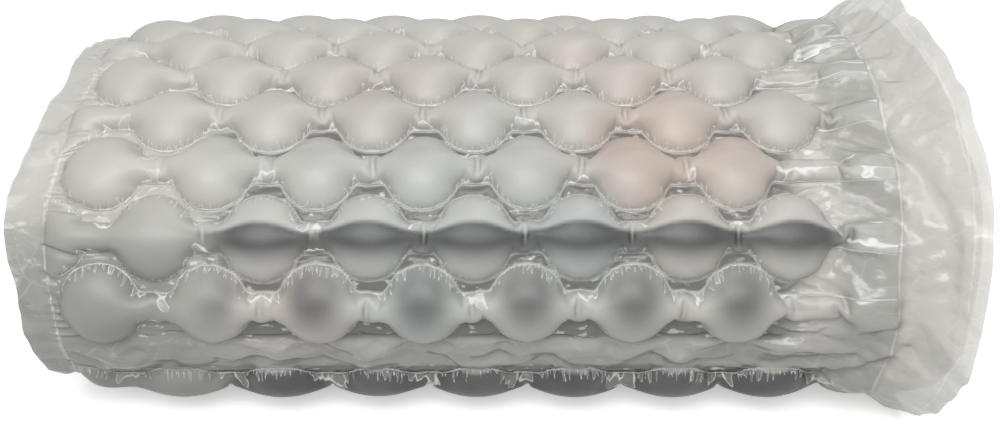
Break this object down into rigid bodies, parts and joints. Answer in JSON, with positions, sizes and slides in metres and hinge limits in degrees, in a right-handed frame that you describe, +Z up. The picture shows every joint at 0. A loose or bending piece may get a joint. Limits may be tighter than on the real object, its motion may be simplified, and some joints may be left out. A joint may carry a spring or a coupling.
{
  "type": "air pillow film roll",
  "caption": "Clear air pillow film wound two turns round a closed dark carton, rows of domed pillows across the roll and pleated flat edges at both ends",
  "frame": {"origin": "On the resting plane, under the middle of the roll's bounding box.", "axes": "X runs along the roll's axis from the closed ends of the chambers at -X to the flared filling edge at +X, Y is its depth from front to back, Z is up."},
  "size_m": [0.3886, 0.2544, 0.1517],
  "materials": {
    "clear_film": "thin hazy clear film with a soft sheen",
    "dark_carton": "dark printed board, matt"
  },
  "bodies": {
    "root": {"air_pillow_film": "clear_film", "wrapped_carton": "dark_carton"}
  },
  "joints": []
}
